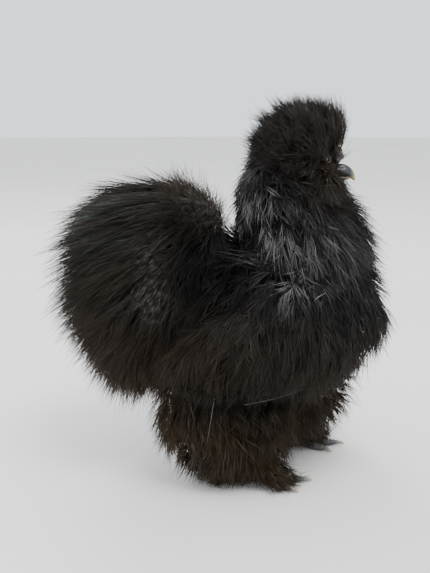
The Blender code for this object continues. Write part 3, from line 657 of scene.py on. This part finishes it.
def grown(name, spots, lay, paint, slot, label):
    """Clumps of strands at these roots, as pieces small enough to bake."""
    lengths = lay["length"] * RNG.uniform(0.75, 1.25, len(spots))
    tops = lay["top"] + RNG.normal(0, 0.06, len(spots))
    paths, outs = clump_strands(COATS[name], lay, spots, lengths, tops)
    half = lay["half"] * RNG.uniform(0.6, 1.25, len(paths))
    shades = np.repeat(RNG.random(len(spots)), lay["strands"])
    spots = np.repeat(spots, lay["strands"], 0)
    keep = np.nonzero(in_bounds(paths))[0]
    parts = math.ceil(len(keep) * (6 * (lay["steps"] - 2) + 4) / PIECE_TRIANGLES)
    for k, rows in enumerate(np.array_split(keep, parts)):
        plume("%s_%d" % (label, k + 1), spots[rows], shades[rows], paths[rows], outs[rows], half[rows], paint, slot)


def under_cape(name, spots):
    """Which roots may grow: a wing's upper edge stays bare under the hackle that covers the shoulder."""
    if not name.startswith("wing"):
        return np.ones(len(spots), bool)
    ends = [coat_point(COATS[name], spots, np.full(len(spots), share)) for share in (0.0, 1.0)]
    return unit(ends[1] - ends[0])[:, 2] < 0.5


def feathered(name, paint, down_paint, slot, shells):
    """The coat of one part: outer strands wherever no neighbour's plumage buries them, over down."""
    coat, lay = COATS[name], GROWTH[name.split("_")[0]]
    spots = roots_on(coat, lay["clumps"])
    tips = coat_point(coat, spots, np.ones(len(spots)))
    keep = clear_of_face(coat_point(coat, spots, np.full(len(spots), 0.75))) & under_cape(name, spots)
    for other, tree in shells.items():
        if other != name:
            keep &= depth_inside(tree, tips) < BURIED
    grown(name, spots[keep], lay, paint, slot, "plumage_" + name)
    down = roots_on(coat, round(DOWN_SHARE.get(name.split("_")[0], 0.42) * lay["clumps"]))
    down = down[clear_of_face(coat_point(coat, down, np.full(len(down), 0.5))) & under_cape(name, down)]
    grown(name, down, {**lay, **DOWN}, down_paint, slot, "down_" + name)


def pale_shafts(paint):
    """A few single pale shafts and a small fleck that lie loose on the flank's hem."""
    ends = [((0.021, -0.084, 0.0905), (0.0715, -0.086, 0.1060)), ((0.000, -0.084, 0.112), (-0.009, -0.082, 0.052))]
    for k in range(9):
        lean = RNG.normal(0, 0.0012, 3)
        ends.append((np.array((0.0365, -0.083, 0.100)) + lean, np.array((0.044, -0.084, 0.1085)) + lean * 1.5))
    first, last = np.array([e[0] for e in ends], float), np.array([e[1] for e in ends], float)
    t = np.linspace(0, 1, 9)[None, :, None]
    sag = np.sin(t * math.pi) * np.array((0.0, -0.0015, -0.0012))
    paths = first[:, None] * (1 - t) + last[:, None] * t + sag
    outs = np.broadcast_to(np.array((0.0, -1.0, 0.0)), paths.shape)
    points, faces, along, across, size = strand_mesh(paths, outs, np.full(len(paths), 0.00034))
    uv = 0.5 + 0.003 * np.stack([across, along], -1) + np.repeat(np.arange(len(paths)) * 0.01, size)[:, None]
    # The shafts' pale grey is their own colour, set through the sheen mark.
    place("plumage_shafts", points, faces, paint, "body_plumage", uv=uv, tone=np.ones(len(points)), along=along,
          silver=np.full(len(points), 0.55))


def tail_plumes(glossy, fluffy):
    """The loose tuft that stands up where the cushion begins, and the longer plumes that sweep back over it."""
    spots = roots_on(COATS["tail"], 6000)
    at = coat_point(COATS["tail"], spots, np.ones(len(spots)))
    front = spots[(at[:, 0] > -0.048) & (at[:, 2] > 0.214)][:GROWTH["tuft"]["clumps"]]
    grown("tail", front, GROWTH["tuft"], fluffy, "loose_plumage", "plumage_tuft")
    back = spots[(at[:, 0] < -0.055) & (at[:, 0] > -0.120) & (at[:, 2] > 0.222)][:GROWTH["sickle"]["clumps"]]
    grown("tail", back, GROWTH["sickle"], glossy, "loose_plumage", "plumage_sickles")


HARD_ROOMS = (
    (EYE + (0.013, 0.006, 0.0005), (0.014, 0.0068, 0.0046)),
    ((0.1120, 0, 0.2655), (0.0085, 0.0060, 0.0070)),
    (COMB_CENTRE, (0.0060, 0.0056, 0.0054)),
)
SOFT_ROOMS = (
    ((0.1180, 0, 0.2645), (0.0205, 0.0085, 0.0100)),
    (COMB_CENTRE + (0.004, 0, 0), (0.0085, 0.0080, 0.0070)),
    (EYE + (0.012, 0.010, -0.001), (0.013, 0.012, 0.0062)),
    (LOBE + (0.003, 0.012, -0.0025), (0.0030, 0.013, 0.0034)),
)


def crest_wisps(paint):
    """Longer, finer strands that stand out of the crest's top and rear."""
    spots = roots_on(COATS["crest"], GROWTH["wisp"]["clumps"] * 2)
    at = coat_point(COATS["crest"], spots, np.ones(len(spots)))
    spots = spots[(at[:, 2] > 0.285) & (at[:, 0] < 0.110)][:GROWTH["wisp"]["clumps"]]
    grown("crest", spots, GROWTH["wisp"], paint, "loose_plumage", "plumage_wisps")


def clear_of(points, rooms):
    """Which points lie outside every room, an ellipsoid on each side of the bird."""
    p = np.array(points)
    p[:, 1] = np.abs(p[:, 1])
    free = np.ones(len(p), bool)
    for centre, radii in rooms:
        free &= np.sum(((p - np.array(centre)) / np.array(radii)) ** 2, -1) > 1
    return free


def clear_of_face(points):
    """Which roots leave free the eyes, the lobes, the bill and the comb."""
    return clear_of(points, SOFT_ROOMS)


# ---- body --------------------------------------------------------------------------------------

def bare_skin(paint):
    """One skin over the whole bird: its bare forms fused on a fine voxel grid, then eased."""
    shapes = [SADDLE, *(coat[0] for name, coat in COATS.items() if not name.startswith("boot"))]
    points, faces = joined([sheet_of(lambda u, a, s=s: surface(s, u, a), 40, 48) for s in shapes])
    skin = place("skin", points, faces, paint, "face_skin")
    for kind, settings in (("REMESH", dict(mode="VOXEL", voxel_size=0.0016)), ("SMOOTH", dict(iterations=6))):
        step = skin.modifiers.new(kind.lower(), kind)
        for key, value in settings.items():
            setattr(step, key, value)
    graph = bpy.context.evaluated_depsgraph_get()
    fused = bpy.data.meshes.new_from_object(skin.evaluated_get(graph))
    skin.modifiers.clear()
    skin.data = fused
    at = np.empty(len(fused.vertices) * 3, np.float32)
    fused.vertices.foreach_get("co", at)
    for mark, values in markings_and_painted_light(at.reshape(-1, 3)).items():
        old = fused.attributes.get(mark)
        if old:
            fused.attributes.remove(old)
        fused.attributes.new(mark, "FLOAT", "POINT").data.foreach_set("value", values.astype(np.float32))
    fused.shade_smooth()
    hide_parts("head", "neck", "torso", "tail", "leg_r", "leg_l", "wing_r", "wing_l", "crest", "beard")
    return skin


def swept(points, radii, columns=24, rows=60, relief=None):
    """A limb along a curve, round in section and closed at both ends, with a relief (u, a) added."""
    points, radii = np.array(points, float), np.array(radii, float)

    def point_at(u, a):
        along = unit(smooth(points, u + 0.02) - smooth(points, u - 0.02))
        first = unit(np.cross(along, (0.02, 0.99, 0.13)))
        second = np.cross(along, first)
        cap = np.sqrt(np.clip(1 - np.abs(2 * u - 1) ** 14, 0, 1))
        size = smooth(radii, u) * cap
        if relief is not None:
            size = size + relief(u, a) * cap
        return smooth(points, u) + (first * np.cos(a)[..., None] + second * np.sin(a)[..., None]) * size[..., None]

    return sheet_of(point_at, rows, columns)


def scutes(count, height):
    """Overlapping scales along a limb's top: a saw in u that fades round to its underside."""
    def relief(u, a):
        saw = (u * count) % 1.0
        return height * (saw - 0.5) * (0.55 + 0.45 * np.cos(a))
    return relief


def feet(paint, claw_paint_made):
    """Shanks, toes with scutes, and curved claws, where the frame has them."""
    for side in "rl":
        x, y = FOOT[side]
        inward = -SIGN[side]
        pad = np.array((x, y, 0.0))
        shank = [pad + p for p in ((-0.006, 0, 0.050), (-0.003, 0, 0.028), (0, 0, 0.005))]
        parts = [swept(shank, [SHANK_RADIUS * 1.05, SHANK_RADIUS * 0.92, SHANK_RADIUS * 1.1], relief=scutes(11, 0.0007))]
        claws = []
        for _, bearing, length, rise in TOES:
            turn = math.radians(bearing)
            ahead = np.array((math.cos(turn), inward * math.sin(turn), 0.0))
            up = np.array((0, 0, 1.0))
            stops = (-0.10, 0.09, 0.28, 0.52, 0.78, 1.0)
            points = [pad + ahead * (0.003 + length * s) + up * (TOE_RADIUS * 0.86 + rise * max(s, 0) ** 1.4)
                      for s in stops]
            radii = [TOE_RADIUS * size for size in (1.1, 1.0, 0.94, 1.08, 0.88, 0.72)]
            toe = swept(points, radii, relief=scutes(max(6, round(length * 420)), 0.0006))
            parts.append(toe)
            tip, way = points[-1], unit(points[-1] - points[-2])
            droop = np.array((0, 0, -1.0)) if rise == 0 else np.array((0.25, 0, 0.5))
            curve = [tip + way * (CLAW_LENGTH * s - 0.0006) + droop * 0.0014 * s**2 for s in (0, 0.35, 0.7, 1.0)]
            claws.append(swept(curve, [0.0021, 0.0018, 0.0012, 0.0004], 18, 30))
        points, faces = joined(parts)
        points[:, 2] = np.maximum(points[:, 2], 0.0)
        # A height ramp, not a scale pattern: 0.15 at the floor, rising to 0.85 at 6 mm up.
        low = points[:, 2] / 0.006
        foot = place("scaled_foot_" + side, points, faces, paint, "shank_skin",
                     scale=np.clip(low, 0, 1) * 0.7 + 0.15)
        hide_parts("foot_" + side)
        for (name, *_), (points, faces) in zip(TOES, claws):
            points[:, 2] = np.maximum(points[:, 2], 0.0)
            reach = np.linalg.norm(points - points[-2], axis=-1) / CLAW_LENGTH
            claw = place("curved_claw_" + side + name, points, faces, claw_paint_made, "claw_horn",
                         horn=np.clip(reach, 0, 1))
            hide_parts("claw_" + side + name)


# ---- face --------------------------------------------------------------------------------------

def bill(paint):
    """Upper bill with its ridge, hooked tip and nostrils, and the lower bill under the mouth's line."""
    upper = form([(0.0970, 0, 0.2695), (0.1060, 0, 0.2700), (0.1130, 0, 0.2665), (0.1172, 0, 0.2605)],
                 [0.0058, 0.0050, 0.0036, 0.0014], [0.0056, 0.0048, 0.0034, 0.0012])
    lower = form([(0.0960, 0, 0.2625), (0.1060, 0, 0.2626), (0.1142, 0, 0.2630)],
                 [0.0030, 0.0024, 0.0012], [0.0050, 0.0038, 0.0018])

    def upper_at(u, a):
        p = surface(upper, u, a)
        ridge = np.clip(np.cos(a), 0, 1)
        p[:, 1] *= 1 - 0.30 * ridge
        under = np.clip(-np.cos(a), 0, 1)
        p[:, 2] -= 0.0006 * under * (1 - u)
        for s in (-1, 1):
            pit = bump(p, (0.1052, s * 0.0042, 0.2712), (0.0022, 0.0020, 0.0006))
            p[:, 1] -= s * 0.0008 * pit
        return p

    points, faces = sheet_of(upper_at, 110, 72)
    tip = np.clip((points[:, 0] - 0.1125) / 0.0045, 0, 1) ** 1.3
    rim = np.clip((0.2650 - points[:, 2]) / 0.0015, 0, 1) * np.clip((points[:, 0] - 0.1030) / 0.004, 0, 1)
    over = place("upper_bill", points, faces, paint, "beak_horn", horn=np.maximum(tip, rim) * 0.85)
    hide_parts("beak_upper")
    points, faces = sheet_of(lambda u, a: surface(lower, u, a), 70, 48)
    under = place("lower_bill", points, faces, paint, "beak_horn",
                  horn=np.clip((points[:, 0] - 0.1085) / 0.005, 0, 1) * 0.9)
    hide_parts("beak_lower")


def walnut_comb(paint):
    """A cushion whose skin is the far side of a cluster of bulbs, melted together and finely wrinkled."""
    k = np.arange(16) + 0.5
    z, turn = 1 - 2 * k / 16, k * math.pi * (3 - math.sqrt(5))
    flat = np.sqrt(1 - z**2)
    bulbs = np.stack([flat * np.cos(turn), flat * np.sin(turn), z], -1) * (0.0052, 0.0048, 0.0046)
    size = 0.0033 + 0.0005 * np.sin(2.3 * np.arange(16))

    def point_at(u, a):
        ray = np.stack([np.sin(math.pi * u) * np.cos(a), np.sin(math.pi * u) * np.sin(a), np.cos(math.pi * u)], -1)
        b = ray @ bulbs.T
        inside = b**2 - np.sum(bulbs**2, -1) + size**2
        reach = np.where(inside > 0, b + np.sqrt(np.maximum(inside, 0)), 0.0)
        reach = np.log(np.sum(np.exp(reach * 3500.0), -1)) / 3500.0
        reach += 0.00012 * np.sin(ray @ np.array((23.0, 31.0, 17.0)) * 2) * np.sin(ray @ np.array((-29.0, 13.0, 37.0)) * 2)
        return COMB_CENTRE + ray * reach[:, None]

    points, faces = sheet_of(point_at, 90, 120)
    comb = place("walnut_comb", points, faces, paint, "comb_skin")
    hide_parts("comb")


def eyes_and_lobes(eye_paint_made, skin, lobe_paint_made):
    """Round black-brown eyes with a cornea, wrinkled lids round them, and an earlobe on each side."""
    for side in "rl":
        s = SIGN[side]
        centre = EYE * (1, s, 1)

        def ball_at(u, a):
            ray = np.stack([np.sin(math.pi * u) * np.sin(a), s * np.cos(math.pi * u), np.sin(math.pi * u) * np.cos(a)], -1)
            swell = 1 + 0.06 * np.exp(-(u / 0.16) ** 2)
            return centre + ray * (EYE_RADIUS * swell)[:, None]

        points, faces = sheet_of(ball_at, 48, 48)
        off = np.linalg.norm((points - centre)[:, (0, 2)], axis=-1) / EYE_RADIUS
        iris = np.clip((off - 0.42) / 0.06, 0, 1) * np.clip((0.86 - off) / 0.05, 0, 1)
        ball = place("eyeball_" + side, points, faces, eye_paint_made, "eye", iris=iris)
        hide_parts("eye_" + side)

        def lid_at(v, a):
            ring = TAU * v
            almond = np.stack([1.10 * np.cos(a), np.zeros_like(a), 0.80 * np.sin(a)], -1) * EYE_RADIUS * 0.95
            thick = 0.0011 * (1 + 0.25 * np.cos(9 * a) * np.sin(ring / 2) ** 2)
            outward_ray = unit(almond)
            lift = np.array((0, s, 0)) * (0.0031 - 0.0006 * np.abs(np.cos(a))[:, None] ** 2)
            return (centre + almond + lift + outward_ray * (thick * np.cos(ring))[:, None]
                    + np.array((0, s, 0)) * (thick * np.sin(ring))[:, None])

        rows, columns = 20, 72
        v, a = np.meshgrid(np.arange(rows) / rows, np.arange(columns) * TAU / columns, indexing="ij")
        points = lid_at(v.ravel(), a.ravel())
        k, j = np.meshgrid(np.arange(rows), np.arange(columns), indexing="ij")
        here, beside = k * columns + j, k * columns + (j + 1) % columns
        above, far = (k + 1) % rows * columns + j, (k + 1) % rows * columns + (j + 1) % columns
        faces = np.concatenate([np.stack([here, beside, far], -1).reshape(-1, 3), np.stack([here, far, above], -1).reshape(-1, 3)])
        place("eyelids_" + side, points, outward(points, faces), skin, "face_skin")

        lobe_centre = LOBE * (1, s, 1)

        def lobe_at(u, a):
            ray = np.stack([np.sin(math.pi * u) * np.cos(a), np.sin(math.pi * u) * np.sin(a), np.cos(math.pi * u)], -1)
            fold = 1 + 0.05 * np.sin(11 * u + 2 * a)
            return lobe_centre + ray * (0.0042, 0.0022, 0.0056) * fold[:, None]

        points, faces = sheet_of(lobe_at, 48, 48)
        lobe = place("oval_lobe_" + side, points, faces, lobe_paint_made, "lobe_skin")
        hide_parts("earlobe_" + side)


# ---- studio ------------------------------------------------------------------------------------

def studio():
    """A pale floor, soft light from above, and the camera at the photo's angle."""
    bpy.ops.mesh.primitive_circle_add(vertices=96, radius=6, fill_type="NGON", location=(0, 0, -0.0004))
    floor = bpy.context.object
    floor.name = "floor"
    n = Nodes("pale_floor")
    floor.data.materials.append(n.done(n.mix(n.ramp(n.noise(3.0), 0.3, 0.7), (0.78, 0.77, 0.74), (0.83, 0.82, 0.80)), 0.8))
    world = bpy.data.worlds.new("studio")
    bpy.context.scene.world = world
    world.use_nodes = True
    world.node_tree.nodes["Background"].inputs["Color"].default_value = (0.93, 0.96, 1.0, 1)
    world.node_tree.nodes["Background"].inputs["Strength"].default_value = 1.6
    for name, spot, size, power in (
        ("key", (0.5, -0.9, 2.0), 0.9, 40), ("fill", (-1.4, -1.0, 0.9), 1.4, 4), ("rim", (-0.5, 1.3, 1.6), 1.0, 20),
    ):
        lamp = bpy.data.lights.new(name, "AREA")
        lamp.size, lamp.energy = size, power
        holder = bpy.data.objects.new(name, lamp)
        holder.location = spot
        holder.rotation_euler = (Vector((0, 0, 0.15)) - Vector(spot)).to_track_quat("-Z", "Y").to_euler()
        bpy.context.scene.collection.objects.link(holder)
    lens = bpy.data.cameras.new("camera")
    lens.sensor_fit, lens.sensor_height = "VERTICAL", 36
    lens.lens = 796 / 573 * 36
    lens.shift_x = -2 / 573
    lens.clip_start = 0.01
    camera = bpy.data.objects.new("camera", lens)
    camera.location = (0, -0.68, 0.331)
    camera.rotation_euler = (math.pi / 2 - math.radians(13.5), 0, 0)
    bpy.context.scene.collection.objects.link(camera)
    bpy.context.scene.camera = camera


def build():
    studio()
    face = face_paint()
    bare_skin(skin_paint())
    eyes_and_lobes(eye_paint(), face, lobe_paint())
    bill(beak_paint())
    walnut_comb(comb_paint())
    feet(foot_paint(), claw_paint())
    shells = {name: shell(coat, 0.8) for name, coat in COATS.items()}
    # Each paint's third colour is the painted light on the strand tips.
    glossy = plumage_paint("silkie_plumage", (0.0054, 0.0048, 0.0047), (0.058, 0.049, 0.040), 0.20)
    fluffy = plumage_paint("silkie_fluff", (0.0160, 0.0145, 0.0138), (0.105, 0.090, 0.076), 0.12)
    for name in COATS:
        slot = "loose_plumage" if name in ("crest", "beard", "tail") else "body_plumage"
        paint = glossy if name.split("_")[0] in ("neck", "wing", "torso", "tail") else fluffy
        feathered(name, paint, fluffy, slot, shells)
    tail_plumes(glossy, fluffy)
    crest_wisps(fluffy)
    pale_shafts(fluffy)


build()
